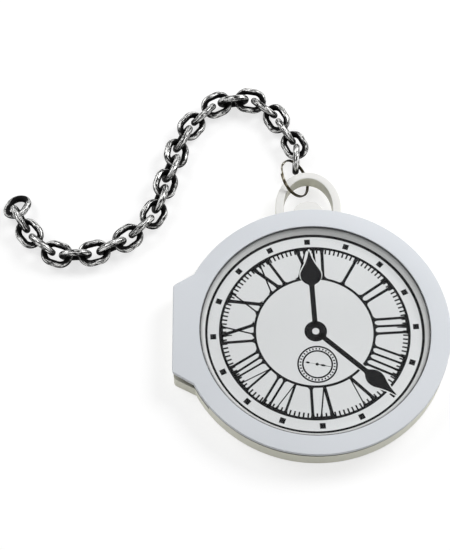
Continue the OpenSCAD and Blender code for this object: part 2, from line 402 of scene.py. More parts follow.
bow_rings = []
for (inner_x, inner_y), (outer_x, outer_y) in bow_stations():
    width = math.hypot(outer_x - inner_x, outer_y - inner_y)
    bow_rings.append([
        (BOW_X + inner_x + (outer_x - inner_x) * across / width,
         BOW_Y + inner_y + (outer_y - inner_y) * across / width, z)
        for across, z in band_section(width, BOW_LOW, BOW_HIGH, BOW_EDGE)])
white_plastic = moulded_plastic("white_plastic", BOW_WHITE, BOW_WHITE_PALE, roughness=0.3)
white_shader = white_plastic.node_tree.nodes["Principled BSDF"]
white_coords = step(white_plastic.node_tree, "ShaderNodeTexCoord").outputs
white_faces = step(white_plastic.node_tree, "ShaderNodeSeparateXYZ", {
    "Vector": white_coords["Normal"]}).outputs
# Painted light and shade: up-facing faces keep the whiter face colour, and the sides take the ivory
# one
white_side = mapped(white_faces["Z"], 0.75, 0.45)
# Painted shade: the bow's inner side faces its middle, and is darkened where it also faces left or
# right
from_middle = vector_step("SUBTRACT", white_coords["Object"], (BOW_X * MM, BOW_Y * MM, 0.0))
white_outwards = vector_step(
    "DOT_PRODUCT", white_coords["Normal"], from_middle, result="Value")
white_painted_shade = calculate(
    "MULTIPLY", mapped(white_outwards, 0.0, -6.0 * MM), calculate("ABSOLUTE", white_faces["X"]))
white_shaded_sides = ramp(white_painted_shade, [(0.4, IVORY_PALE), (0.95, BOW_PAINTED_SHADE)])
white_face = white_shader.inputs["Base Color"].links[0].from_socket
feed(white_shader, {"Base Color": blended(white_side, white_face, white_shaded_sides)})
bow_loop = lofted("bow_loop", bow_rings, white_plastic)
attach(bow_loop, "case")
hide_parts("bow")

# ---------------------------------------------------------------- crown
# The half round dummy crown under the bow, a moulding plugged into the case wall: a flat half
# disc with softened edges, as thick as the bow and in its material, whiter on top and ivory on
# the sides as painted light and shade. Its plug can't be seen and isn't shown.
CROWN_Y = 65.2
CROWN_RADIUS = 8.0
CROWN_EDGE = 0.5
CROWN_STEPS = 48
SEAT_STEPS = 24
WALL_RADIUS = 65.95


def wall_y(x):
    """Where the case wall lies behind a point of the crown's seat."""
    return math.sqrt(WALL_RADIUS ** 2 - (x + BOW_X) ** 2)


def crown_rings(edge):
    """Level outlines of the crown from its underside to its face, drawn in at both edges."""
    levels = []
    for k in range(EDGE_STEPS + 1):
        a = math.radians(90 - 90 * k / EDGE_STEPS)
        levels.append((BOW_LOW + edge * (1 - math.sin(a)), edge * (1 - math.cos(a))))
    levels += [(BOW_HIGH + BOW_LOW - z, inset) for z, inset in levels[::-1]]
    rings = []
    for z, inset in levels:
        radius = CROWN_RADIUS - inset
        ring = []
        for k in range(CROWN_STEPS + 1):
            a = math.radians(180 * k / CROWN_STEPS)
            x = radius * math.cos(a)
            ring.append((BOW_X + x, max(CROWN_Y + radius * math.sin(a), wall_y(x)), z))
        for k in range(1, SEAT_STEPS):
            x = -radius + 2 * radius * k / SEAT_STEPS
            ring.append((BOW_X + x, wall_y(x), z))
        rings.append(ring)
    return rings


crown_button = lofted("crown_button", crown_rings(CROWN_EDGE), white_plastic)
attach(crown_button, "case")
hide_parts("crown")

# ---------------------------------------------------------------- front frame
# The flat front ring with its hinge tab: satin plastic with a cold pearl tint, a rounded outer
# edge and a sharp inner one. It carries the lens, the dial and the plate behind them.
PEARL = (0.635, 0.661, 0.695, 1.0)
PEARL_PALE = (0.694, 0.72, 0.754, 1.0)
FRAME_PAINTED_SHADE = (0.10, 0.10, 0.085, 1)
# Painted shade: the lower part of the frame's outer edge, which is undercut, is darkened
pearl_plastic = moulded_plastic(
    "pearl_plastic", PEARL, PEARL_PALE, roughness=0.42, cloud=9.0,
    painted_shade=FRAME_PAINTED_SHADE, zones=[((-80, 80), (11.9, 12.62), (64.8, 80))])
frame_ring = smooth_copy("front_frame", "frame_ring", pearl_plastic, "cover")

# ---------------------------------------------------------------- back plate
# The plain moulded plate that closes the back of the cover, behind the dial, held by six
# screws. It is seen only when the cover is open.
plate_plastic = moulded_plastic(
    "plate_plastic", (0.74, 0.735, 0.70, 1), (0.80, 0.795, 0.76, 1), roughness=0.4)
cover_plate = smooth_copy("lid_back_plate", "cover_plate", plate_plastic, "cover")

# ---------------------------------------------------------------- screws
# Six small countersunk steel screws hold the back plate to the frame. They are plain like the
# hinge pin, and the CAD solids are shown as they are.
finish_node("lid_screws", drawn_steel)

# ---------------------------------------------------------------- rehaut
# The sloping ring between dial and lens: glossy plastic, its colour painted with shade, pale at
# the dial and darker outwards to near black under the edge of the frame. Its flange is held
# between the frame and the dial.
REHAUT_PALE_RADIUS = 54.0
REHAUT_DARK_RADIUS = 56.6
glossy_grey, grey_shader, grey_coords = surface("glossy_grey")
grey_shade = mapped(
    axis_distance(grey_coords["Object"]), REHAUT_PALE_RADIUS * MM, REHAUT_DARK_RADIUS * MM)
grey_cloud = grain(grey_coords["Object"], 300.0, 3.0)
grey_tone = ramp(calculate("MULTIPLY_ADD", grey_cloud, 0.10, grey_shade), [
    (0.04, (0.93, 0.93, 0.925, 1)), (0.45, (0.78, 0.78, 0.775, 1)),
    (0.76, (0.46, 0.46, 0.46, 1)), (0.88, (0.11, 0.11, 0.112, 1))])
feed(grey_shader, {"Base Color": grey_tone, "Roughness": 0.18, "Specular IOR Level": 0.25})
rehaut_slope = smooth_copy("rehaut_ring", "rehaut_slope", glossy_grey, "cover")

# ---------------------------------------------------------------- dial
# A stiff printed face of light grey stock with a fine grain. It is held between the rehaut's
# flange and the back plate.
dial_stock, stock_shader, stock_coords = surface("dial_stock")
stock_grain = grain(stock_coords["Object"], 1500.0, 3.0)
stock_cloud = grain(stock_coords["Object"], 14.0, 2.0)
stock_mix = calculate("MULTIPLY", calculate("ADD", stock_grain, stock_cloud), 0.5)
feed(stock_shader, {
    "Base Color": ramp(stock_mix, [
        (0.35, (0.735, 0.74, 0.745, 1)), (0.65, (0.80, 0.805, 0.81, 1))]),
    "Roughness": 0.6, "Specular IOR Level": 0.2,
    "Normal": bumped(stock_grain, strength=0.2, depth=0.01)})
dial_face = smooth_copy("dial_disc", "dial_face", dial_stock, "cover")

# ---------------------------------------------------------------- dial print: rings and rows
# Everything on the dial is black print. Its unit is the radius of the row of squares, 50 mm. It is
# turned 3 degrees and sits a little low on the dial. Rings are thin plates; ticks and dots are rows.
DIAL_TOP = 10.0
PRINT_SUNK = 0.01
PRINT_UNIT = 50.0
PRINT_TURN = math.radians(3.0)
PRINT_MIDDLE = (-0.0018, -0.0043)
CIRCLE_STEPS = 192
SUB_CENTRE = (0.0, -0.352)

black_ink, ink_shader, ink_coords = surface("black_ink")
feed(ink_shader, {
    "Base Color": ramp(grain(ink_coords["Object"], 1200.0, 3.0), [
        (0.3, (0.006, 0.006, 0.007, 1)), (0.7, (0.012, 0.012, 0.013, 1))]),
    "Roughness": 0.7, "Specular IOR Level": 0.03})


def turned(x, y):
    """A point given in print units, in millimetres on the dial."""
    c, s = math.cos(PRINT_TURN), math.sin(PRINT_TURN)
    x, y = x + PRINT_MIDDLE[0], y + PRINT_MIDDLE[1]
    return (PRINT_UNIT * (x * c - y * s), PRINT_UNIT * (x * s + y * c))


def printed(name, outlines, rings, lift, ink):
    """One print piece: thin closed plates from outlines, and rings as (inner, outer, centre)."""
    shape = bmesh.new()
    low, high = DIAL_TOP - PRINT_SUNK, DIAL_TOP + lift

    def wall(points, flip):
        below = [shape.verts.new((x * MM, y * MM, low * MM)) for x, y in points]
        above = [shape.verts.new((x * MM, y * MM, high * MM)) for x, y in points]
        count = len(points)
        for k in range(count):
            quad = (below[k], below[(k + 1) % count], above[(k + 1) % count], above[k])
            shape.faces.new(quad[::-1] if flip else quad)
        return below, above

    for points in outlines:
        area = sum(a[0] * b[1] - b[0] * a[1] for a, b in zip(points, points[1:] + points[:1]))
        below, above = wall(points if area > 0 else points[::-1], False)
        shape.faces.new(above)
        shape.faces.new(below[::-1])
    for inner, outer, centre in rings:
        circles = []
        for radius, flip in ((outer, False), (inner, True)):
            angles = [math.tau * k / CIRCLE_STEPS for k in range(CIRCLE_STEPS)]
            circles.append(wall([turned(
                centre[0] + radius * math.cos(a), centre[1] + radius * math.sin(a))
                for a in angles], flip))
        (out_low, out_high), (in_low, in_high) = circles
        for k in range(CIRCLE_STEPS):
            n = (k + 1) % CIRCLE_STEPS
            shape.faces.new((out_high[k], out_high[n], in_high[n], in_high[k]))
            shape.faces.new((out_low[n], out_low[k], in_low[k], in_low[n]))
    piece = piece_from(shape, name, ink)
    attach(piece, "cover")


printed("print_rings", [], [
    (1.0545, 1.0845, (0, 0)), (0.9165, 0.9425, (0, 0)), (0.5765, 0.602, (0, 0)),
    (0.1820, 0.1980, SUB_CENTRE), (0.1352, 0.1515, SUB_CENTRE)], lift=0.02, ink=black_ink)


def sized_tree(name, sizes):
    """A Geometry Nodes tree with one named input for each size, and those inputs' sockets."""
    tree = bpy.data.node_groups.new(name, "GeometryNodeTree")
    tree.interface.new_socket("Geometry", in_out="OUTPUT", socket_type="NodeSocketGeometry")
    for size, value in sizes.items():
        kind = "NodeSocketInt" if isinstance(value, int) else "NodeSocketFloat"
        socket = tree.interface.new_socket(size, in_out="INPUT", socket_type=kind)
        socket.default_value = value
    return tree, step(tree, "NodeGroupInput").outputs


def joined_xyz(tree, **parts):
    """A vector from its X, Y and Z."""
    return step(tree, "ShaderNodeCombineXYZ", parts).outputs[0]


def ended(tree, geometry, material):
    """Ends a tree with real geometry in one material."""
    real = step(tree, "GeometryNodeRealizeInstances", {"Geometry": geometry}).outputs[0]
    covered = step(tree, "GeometryNodeSetMaterial", {"Geometry": real, "Material": material})
    step(tree, "NodeGroupOutput", {"Geometry": covered.outputs[0]})


def grown(name, tree, sizes, place):
    """The tree's result at these sizes as a plain mesh object, with place baked into its mesh."""
    grower = in_scene(name + "_start", bpy.data.meshes.new(name + "_start"))
    growth = grower.modifiers.new("growth", "NODES")
    growth.node_group = tree
    for socket in tree.interface.items_tree:
        if socket.name in sizes:
            growth[socket.identifier] = sizes[socket.name]
    made = bpy.data.meshes.new_from_object(
        grower.evaluated_get(bpy.context.evaluated_depsgraph_get()))
    made.name = name
    grower.modifiers.remove(growth)
    bpy.data.objects.remove(grower)
    made.transform(place)
    return in_scene(name, made)


# One mark is a thin block; the row sets it round a circle, long side outwards.
MARK_THICKNESS = 0.03
MARK_MIDDLE_Z = DIAL_TOP + 0.005
row_tree, row_size = sized_tree("printed_row", {
    "Count": 16, "Row radius": 50.0 * MM, "Mark length": 2.7 * MM, "Mark width": 2.7 * MM,
    "Thickness": MARK_THICKNESS * MM})
row_index = step(row_tree, "GeometryNodeInputIndex").outputs[0]
row_angle = calculate("MULTIPLY", row_index, calculate("DIVIDE", math.tau, row_size["Count"]))
row_at = joined_xyz(
    row_tree, X=calculate("MULTIPLY", row_size["Row radius"], calculate("SINE", row_angle)),
    Y=calculate("MULTIPLY", row_size["Row radius"], calculate("COSINE", row_angle)))
row_points = step(row_tree, "GeometryNodePoints", {"Count": row_size["Count"], "Position": row_at})
row_mark = step(row_tree, "GeometryNodeMeshCube", {"Size": joined_xyz(
    row_tree, X=row_size["Mark width"], Y=row_size["Mark length"], Z=row_size["Thickness"])})
row_turn = step(row_tree, "FunctionNodeEulerToRotation", {
    "Euler": joined_xyz(row_tree, Z=calculate("MULTIPLY", row_angle, -1.0))})
row_set = step(row_tree, "GeometryNodeInstanceOnPoints", {
    "Points": row_points.outputs[0], "Instance": row_mark.outputs[0],
    "Rotation": row_turn.outputs[0]})
ended(row_tree, row_set.outputs[0], black_ink)

for row_name, count, radius, length, width, centre in (
        ("print_squares", 16, 0.9995, 0.0575, 0.0565, (0, 0)),
        ("print_ticks", 128, 0.8955, 0.053, 0.0165, (0, 0)),
        ("print_sub_dots", 32, 0.1670, 0.0185, 0.0135, SUB_CENTRE)):
    centre_x, centre_y = turned(*centre)
    row_place = Matrix.Translation((centre_x * MM, centre_y * MM, MARK_MIDDLE_Z * MM)) \
        @ Matrix.Rotation(PRINT_TURN, 4, "Z")
    row = grown(row_name, row_tree, {
        "Count": count, "Row radius": radius * PRINT_UNIT * MM,
        "Mark length": length * PRINT_UNIT * MM, "Mark width": width * PRINT_UNIT * MM,
        "Thickness": MARK_THICKNESS * MM}, row_place)
    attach(row, "cover")

# ---------------------------------------------------------------- dial print: numerals
# Roman numerals with their feet towards the centre. Every stroke is straight and flares where it
# meets the two rings, and a serif band joins the heads of each numeral.
HEAD_RADIUS = 0.925
FOOT_RADIUS = 0.594
BOLDER = 1.1
STROKE_STEPS = 32
# A flare's width, length and curve
HEAD_FLARE = (0.016, 0.055, 2.2)
FOOT_FLARE = (0.026, 0.036, 1.8)
SERIF_LOW = 0.902
SERIF_HIGH = 0.922
# Each numeral's strokes: degrees at the head, degrees at the foot, width, whether the foot flares
NUMERALS = {
    "I": [(31.8, 31.8, 0.027, 1)],
    "II": [(55.0, 53.8, 0.026, 1), (60.7, 61.3, 0.026, 1)],
    "III": [(83.5, 80.6, 0.025, 1), (88.7, 87.8, 0.023, 1), (93.3, 95.4, 0.025, 1)],
    "IIII": [(110.8, 108.4, 0.022, 1), (115.4, 115.4, 0.021, 1), (120.4, 121.8, 0.021, 1),
             (124.6, 128.4, 0.023, 1)],
    "V": [(145.0, 149.2, 0.030, 0), (152.6, 149.6, 0.011, 0)],
    "VI": [(173.3, 175.4, 0.030, 0), (180.6, 175.9, 0.013, 0), (185.4, 187.9, 0.026, 1)],
    "VII": [(202.5, 202.6, 0.022, 0), (208.9, 202.9, 0.010, 0), (213.2, 213.2, 0.020, 1),
            (217.3, 219.7, 0.022, 1)],
    "VIII": [(230.4, 230.5, 0.020, 0), (236.0, 230.9, 0.010, 0), (240.4, 240.2, 0.018, 1),
             (243.3, 246.1, 0.020, 1), (247.9, 252.1, 0.023, 1)],
    "IX": [(265.5, 263.8, 0.026, 1), (270.4, 280.6, 0.030, 1), (276.7, 270.4, 0.014, 1)],
    "X": [(294.6, 303.2, 0.033, 1), (300.8, 293.3, 0.014, 1)],
    "XI": [(322.0, 327.9, 0.032, 1), (327.6, 318.4, 0.014, 1), (332.9, 334.6, 0.026, 1)],
    "XII": [(352.8, 359.4, 0.030, 1), (358.7, 348.3, 0.014, 1), (363.3, 6.2, 0.022, 1),
            (368.75, 12.5, 0.028, 1)],
}


def spoke(radius, degrees):
    """A point in print units; degrees run clockwise from 12 o'clock."""
    a = math.radians(degrees)
    return np.array([math.sin(a), math.cos(a)]) * radius


def flare(reach, shape):
    """How much wider a stroke is at this distance from its end."""
    width, length, curve = shape
    return width * max(0.0, 1 - reach / length) ** curve


def stroke(head_degrees, foot_degrees, width, foot_flares):
    """Outline of one straight stroke, flared at its head and, where it has a serif, at its foot."""
    head = spoke(HEAD_RADIUS, head_degrees)
    foot = spoke(FOOT_RADIUS, foot_degrees)
    length = float(np.linalg.norm(head - foot))
    along = (head - foot) / length
    across = np.array([along[1], -along[0]])
    sides = []
    for k in range(STROKE_STEPS + 1):
        t = length * (0.5 - 0.5 * math.cos(math.pi * k / STROKE_STEPS))
        half = width / 2 * BOLDER + flare(length - t, HEAD_FLARE)
        if foot_flares:
            half += flare(t, FOOT_FLARE)
        sides.append((t, half))
    right = [foot + along * t + across * half for t, half in sides]
    left = [foot + along * t - across * half for t, half in sides[::-1]]
    return [turned(*p) for p in right + left]


def serif_band(first, last):
    """The arc that joins the heads of a numeral's strokes, from one angle to another."""
    steps = max(2, int(last - first))
    turns = [first + (last - first) * k / steps for k in range(steps + 1)]
    return [turned(*spoke(SERIF_HIGH, a)) for a in turns] + [
        turned(*spoke(SERIF_LOW, a)) for a in turns[::-1]]


numeral_outlines = []
for strokes in NUMERALS.values():
    numeral_outlines += [stroke(*s) for s in strokes]
    heads = [s[0] for s in strokes]
    if len(heads) > 1:
        numeral_outlines.append(serif_band(min(heads), max(heads)))
# Two short stray bars hang from the heads of III and IX
for degrees in (89.9, 270.3):
    numeral_outlines.append([turned(*spoke(radius, degrees + aside)) for radius, aside in (
        (0.92, -0.5), (0.92, 0.5), (0.815, 0.35), (0.815, -0.35))])
printed("print_numerals", numeral_outlines, [], lift=0.024, ink=black_ink)

# ---------------------------------------------------------------- dial print: hands
# Two spade hands and the sub-dial's two-ended one, printed like the rest. A pale edge is left
# round the big hands, and it cuts through the numerals and rings under them.
# Each spade: how far from the hub's middle, and half its width there
SHORT_SPADE = [
    (0.897, 0.0), (0.88, 0.007), (0.86, 0.012), (0.82, 0.022), (0.78, 0.0375), (0.74, 0.0555),
    (0.70, 0.0785), (0.66, 0.0995), (0.64, 0.105), (0.62, 0.1063), (0.60, 0.104), (0.577, 0.0985),
    (0.556, 0.086), (0.535, 0.066), (0.525, 0.0525), (0.515, 0.0345), (0.503, 0.027),
    (0.49, 0.0262), (0.475, 0.026), (0.42, 0.026), (0.06, 0.0255)]
LONG_SPADE = [
    (1.026, 0.0), (1.004, 0.0085), (0.974, 0.014), (0.934, 0.0245), (0.894, 0.0385),
    (0.854, 0.055), (0.814, 0.0745), (0.794, 0.080), (0.774, 0.0838), (0.754, 0.0845),
    (0.734, 0.0823), (0.714, 0.0765), (0.694, 0.065), (0.683, 0.058), (0.670, 0.048),
    (0.659, 0.036), (0.648, 0.029), (0.635, 0.0268), (0.62, 0.026), (0.57, 0.026), (0.06, 0.026)]
SPLINE_STEPS = 6
SPADE_STARTS = 0.5
HUB_AT = (0.0101, 0.0043)
HUB_OUTER = 0.1115
HUB_HOLE = 0.0355
SHORT_TURN = 0.0
LONG_TURN = 134.9
EDGE_WIDTH = 0.0085
# How much further the pale edge is carried at a hand's sharp tip
TIP_GROWTH = 1.6


def smooth_profile(profile):
    """Rounds a hand's half outline with a spline through its points."""
    points = [np.array(p) for p in profile]
    points = [2 * points[0] - points[1]] + points + [2 * points[-1] - points[-2]]
    out = []
    for a, b, c, d in zip(points, points[1:], points[2:], points[3:]):
        for k in range(SPLINE_STEPS):
            t = k / SPLINE_STEPS
            out.append(0.5 * (2 * b + (c - a) * t + (2 * a - 5 * b + 4 * c - d) * t * t
                              + (3 * b - a - 3 * c + d) * t ** 3))
    out.append(points[-2])
    return [(r, max(h, 0.0)) for r, h in out]


def spade(profile, degrees, grow=0.0):
    """Outline of a spade hand pointing at degrees, grown all round for its pale edge."""
    a = math.radians(degrees)
    c, s = math.cos(a), math.sin(a)
    half = [(r + (grow if r > SPADE_STARTS else 0.0), h + grow) for r, h in profile]
    half[0] = (half[0][0] + TIP_GROWTH * grow, 0.0)
    side = half + [(r, -h) for r, h in half[::-1][:-1]]
    return [turned(HUB_AT[0] + h * c + r * s, HUB_AT[1] - h * s + r * c) for r, h in side]


hands = [(smooth_profile(SHORT_SPADE), SHORT_TURN), (smooth_profile(LONG_SPADE), LONG_TURN)]
pale_edge, edge_shader, edge_coords = surface("pale_edge")
feed(edge_shader, {
    "Base Color": ramp(grain(edge_coords["Object"], 1500.0, 2.0), [
        (0.3, (0.72, 0.73, 0.73, 1)), (0.7, (0.80, 0.81, 0.81, 1))]),
    "Roughness": 0.6})
printed("print_hand_edges", [spade(*hand, EDGE_WIDTH) for hand in hands], [],
        lift=0.030, ink=pale_edge)
printed("print_hands", [spade(*hand) for hand in hands],
        [(HUB_HOLE, HUB_OUTER, HUB_AT)], lift=0.036, ink=black_ink)

SUB_HAND = math.radians(104.8)
LOZENGE_STEPS = 24
LOZENGE_HOLLOW = 1.3


def on_sub_hand(along, across):
    """A point of the sub-dial's hand, given along it and across it."""
    c, s = math.cos(SUB_HAND), math.sin(SUB_HAND)
    return turned(SUB_CENTRE[0] + s * along + c * across, SUB_CENTRE[1] + c * along - s * across)


def lozenge(distance, half_length, half_width):
    """A small diamond with hollow sides on the sub-dial's hand."""
    corners = []
    for k in range(LOZENGE_STEPS):
        a = math.tau * k / LOZENGE_STEPS
        c, s = math.cos(a), math.sin(a)
        corners.append(on_sub_hand(
            distance + half_length * math.copysign(abs(c) ** LOZENGE_HOLLOW, c),
            half_width * math.copysign(abs(s) ** LOZENGE_HOLLOW, s)))
    return corners


def fine_line(start, end, width):
    """A thin bar along the sub-dial's hand."""
    return [on_sub_hand(u, w * width / 2) for u, w in ((start, -1), (end, -1), (end, 1), (start, 1))]


printed("print_sub_hand", [
    lozenge(-0.003, 0.018, 0.016), lozenge(0.055, 0.031, 0.0108), lozenge(-0.096, 0.021, 0.011),
    fine_line(0.0, 0.142, 0.0055), fine_line(-0.125, 0.0, 0.0024)], [], lift=0.022, ink=black_ink)

# ---------------------------------------------------------------- lens
# A clear acrylic disc let into the frame's opening, flat, with a polished bevel at its edge. It
# mirrors less than plain acrylic, as if coated: the photograph's ink stays black under it.
LENS_RADIUS = 56.6
LENS_LOW = 13.1
LENS_HIGH = 14.2
LENS_BEVEL = 0.35
LENS_ROUND = 0.1
LENS_STEPS = 256
LENS_CREASE = math.radians(15)
clear_acrylic = bpy.data.materials.new("clear_acrylic")
acrylic_tree = bare_tree(clear_acrylic)
acrylic = step(acrylic_tree, "ShaderNodeBsdfPrincipled", {
    "Base Color": (0.985, 0.99, 0.99, 1), "Roughness": 0.02, "IOR": 1.18,
    "Transmission Weight": 1.0})
lamp_light = step(acrylic_tree, "ShaderNodeBsdfTransparent", {"Color": (0.95, 0.955, 0.955, 1)})
acrylic_ray = step(acrylic_tree, "ShaderNodeLightPath").outputs
acrylic_mix = step(acrylic_tree, "ShaderNodeMixShader", {
    0: calculate("MAXIMUM", acrylic_ray["Is Shadow Ray"], acrylic_ray["Is Diffuse Ray"]),
    1: acrylic.outputs[0], 2: lamp_light.outputs[0]})
step(acrylic_tree, "ShaderNodeOutputMaterial", {"Surface": acrylic_mix.outputs[0]})


def spun(name, profile, material):
    """A solid of revolution from (radius, z) points in mm that start and end on the axis."""
    shape = bmesh.new()
    rows = []
    for radius, z in profile:
        angles = [math.tau * k / LENS_STEPS for k in range(LENS_STEPS if radius else 1)]
        rows.append([shape.verts.new((
            radius * MM * math.cos(a), radius * MM * math.sin(a), z * MM)) for a in angles])
    for row, after in zip(rows, rows[1:]):
        for k in range(LENS_STEPS):
            n = (k + 1) % LENS_STEPS
            corners = [row[k % len(row)], row[n % len(row)],
                       after[n % len(after)], after[k % len(after)]]
            shape.faces.new(list(dict.fromkeys(corners)))
    bmesh.ops.recalc_face_normals(shape, faces=shape.faces)
    for edge in shape.edges:
        edge.smooth = edge.calc_face_angle(0.0) < LENS_CREASE
    for face in shape.faces:
        face.smooth = True
    return piece_from(shape, name, material)


lens_disc = spun("lens_disc", [
    (0, LENS_LOW), (LENS_RADIUS, LENS_LOW), (LENS_RADIUS, LENS_HIGH - LENS_BEVEL),
    (LENS_RADIUS - LENS_ROUND, LENS_HIGH - LENS_ROUND), (LENS_RADIUS - LENS_BEVEL, LENS_HIGH),
    (0, LENS_HIGH)], clear_acrylic)
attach(lens_disc, "cover")
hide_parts("window_lens")

# ---------------------------------------------------------------- split ring
# Two turns of flat nickel plated wire that lie side by side. The wire crosses from one turn to
# the other in one short step, with its two cut ends on either side of the step.
RING_AT = (-8.1, 88.0, 8.3)
RING_RADIUS = 10.0
RING_COIL = 0.8
RING_POINTS = 361
RING_HEADING = math.radians(4)
RING_LEAN = math.radians(47)
RING_ENDS = math.radians(168)

# Painted light: the plating is coloured darker towards its right side and paler towards its left
nickel, nickel_shader, nickel_coords = surface("nickel_plate")
nickel_x = step(nickel.node_tree, "ShaderNodeSeparateXYZ", {
    "Vector": nickel_coords["Object"]}).outputs["X"]
nickel_mottle_and_side_light = calculate(
    "ADD", grain(nickel_coords["Object"], 340.0, 4.0),
    mapped(nickel_x, -17.0 * MM, 1.0 * MM, 0.05, -0.33))
feed(nickel_shader, {
    "Base Color": ramp(nickel_mottle_and_side_light, [
        (0.40, (0.05, 0.042, 0.025, 1)), (0.56, (0.26, 0.235, 0.175, 1)),
        (0.70, (0.86, 0.85, 0.81, 1))]),
    "Metallic": 1.0, "Roughness": 0.2})

coil_tree, coil_size = sized_tree("flat_coil", {
    "Radius": RING_RADIUS * MM, "Wire": RING_COIL * MM, "Gap": 0.13 * MM, "Edge": 0.14 * MM,
    "First turn": 0.045, "Last turn": 1.955, "Step turns": 0.07})
coil_line = step(coil_tree, "GeometryNodeMeshLine", {"Count": RING_POINTS})
coil_index = step(coil_tree, "GeometryNodeInputIndex").outputs[0]
coil_length = calculate("SUBTRACT", coil_size["Last turn"], coil_size["First turn"])
coil_turns = calculate("ADD", coil_size["First turn"], calculate(
    "MULTIPLY", calculate("DIVIDE", coil_index, RING_POINTS - 1.0), coil_length))
coil_angle = calculate("MULTIPLY", coil_turns, math.tau)
coil_cross = step(coil_tree, "ShaderNodeMapRange", {
    "Value": coil_turns,
    "From Min": calculate("SUBTRACT", 1.0, coil_size["Step turns"]),
    "From Max": calculate("ADD", 1.0, coil_size["Step turns"]),
    "To Min": -0.5, "To Max": 0.5}, interpolation_type="SMOOTHSTEP")
coil_at = joined_xyz(
    coil_tree, X=calculate("MULTIPLY", coil_size["Radius"], calculate("COSINE", coil_angle)),
    Y=calculate("MULTIPLY", coil_size["Radius"], calculate("SINE", coil_angle)),
    Z=calculate("MULTIPLY", coil_cross.outputs[0], coil_size["Wire"]))
coil_bent = step(coil_tree, "GeometryNodeSetPosition", {
    "Geometry": coil_line.outputs[0], "Position": coil_at})
coil_path = step(coil_tree, "GeometryNodeMeshToCurve", {"Mesh": coil_bent.outputs[0]})
coil_path = step(coil_tree, "GeometryNodeSetCurveNormal", {
    "Curve": coil_path.outputs[0]}, mode="Z_UP")
coil_section = step(coil_tree, "GeometryNodeCurvePrimitiveQuadrilateral", {
    "Width": coil_size["Wire"],
    "Height": calculate("SUBTRACT", coil_size["Wire"], coil_size["Gap"])})
coil_section = step(coil_tree, "GeometryNodeFilletCurve", {
    "Curve": coil_section.outputs[0], "Radius": coil_size["Edge"], "Count": 3}, mode="POLY")
coil_wire = step(coil_tree, "GeometryNodeCurveToMesh", {
    "Curve": coil_path.outputs[0], "Profile Curve": coil_section.outputs[0], "Fill Caps": True})
ended(coil_tree, coil_wire.outputs[0], nickel)

# The ring leans in the bow, and its cut ends lie on its raised left side
ring_place = Matrix.Translation(Vector(RING_AT) * MM) @ Matrix.Rotation(RING_HEADING, 4, "Z") \
    @ Matrix.Rotation(RING_LEAN, 4, "Y") @ Matrix.Rotation(RING_ENDS, 4, "Z")
ring_coils = grown("ring_coils", coil_tree, {}, ring_place)
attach(ring_coils, "split_ring")
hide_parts("split_ring")

# ---------------------------------------------------------------- chain
# Oval links of cast round wire with hammered flats, plated antique silver: the outsides are
# rubbed bright along the wire, and the insides keep their black. Painted shade darkens the
# links' undersides and the tips of their crowns. Each link has its own hammering.
LINKS = 26
WIRE_RADIUS = 1.79
CROWN_AT = 6.7
BAR_AT = 4.85
# How far apart two neighbouring links lie in the hammering's pattern
LINK_SHIFT = 37.0
# The oval's corners take a hair less than its half width, so that its short sides don't vanish
CORNER_SHARE = 0.9999
# How fast and how far the painted shade reaches round the wire towards the crown's tip
TIP_CURVE = 1.3
TIP_REACH = 0.7
# Shares of the hammer depth: the flats, the ridges and the deepest cut
FLAT_SHARE = 0.6
RIDGE_SHARE = 0.7
DEEPEST_CUT = 1.6

# On a link, run is a point along the wire, outwards and up, in millimetres
antique_silver, silver_shader, silver_coords = surface("antique_silver")
silver_tree = antique_silver.node_tree
link_inside_and_tip_shade = step(silver_tree, "ShaderNodeAttribute", attribute_name="inside").outputs["Fac"]
link_run = step(silver_tree, "ShaderNodeAttribute", attribute_name="run").outputs["Vector"]
streak_map = step(silver_tree, "ShaderNodeMapping", {
    "Vector": link_run, "Scale": (0.17, 1.0, 1.0)})
streaks = grain(streak_map.outputs[0], 1.8, 5.0, Roughness=0.72)
pits = grain(link_run, 2.2, 4.0, Roughness=0.75)
rubbed = mapped(streaks, 0.44, 0.56)
pitted = mapped(pits, 0.34, 0.46)
edge_wander = calculate("MULTIPLY_ADD", pits, 1.3, -0.65)
link_up = step(silver_tree, "ShaderNodeSeparateXYZ", {
    "Vector": silver_coords["Normal"]}).outputs["Z"]
# Painted shade: faces that point down are darkened
link_under_shade = mapped(link_up, 0.45, -0.2, 0.0, 0.95)
# The black is the patina inside the links, with painted shade at the crowns' tips and on their
# undersides
hollow = calculate("ADD", link_inside_and_tip_shade, calculate("ADD", edge_wander, link_under_shade))
open_side = mapped(hollow, 0.40, 0.10)
scratch_map = step(silver_tree, "ShaderNodeMapping", {
    "Vector": link_run, "Scale": (0.16, 1.0, 1.0)})
scratches = grain(scratch_map.outputs[0], 1.5, 3.0, Distortion=0.6)
scratched = mapped(
    calculate("ABSOLUTE", calculate("SUBTRACT", scratches, 0.5)), 0.0, 0.022, 0.42, 1.0)
bright = calculate("MULTIPLY", calculate("MULTIPLY", rubbed, pitted),
                   calculate("MULTIPLY", open_side, scratched))
silver_height = calculate("MULTIPLY_ADD", pits, 0.4, streaks)
feed(silver_shader, {
    "Base Color": ramp(bright, [
        (0.0, (0.004, 0.004, 0.004, 1)), (0.3, (0.045, 0.045, 0.045, 1)),
        (0.6, (0.36, 0.36, 0.355, 1)), (1.0, (0.92, 0.92, 0.91, 1))]),
    "Metallic": 0.85, "Specular IOR Level": 0.15, "Roughness": mapped(bright, 0.0, 1.0, 0.62, 0.44),
    "Normal": bumped(silver_height, strength=0.9, depth=0.09)})

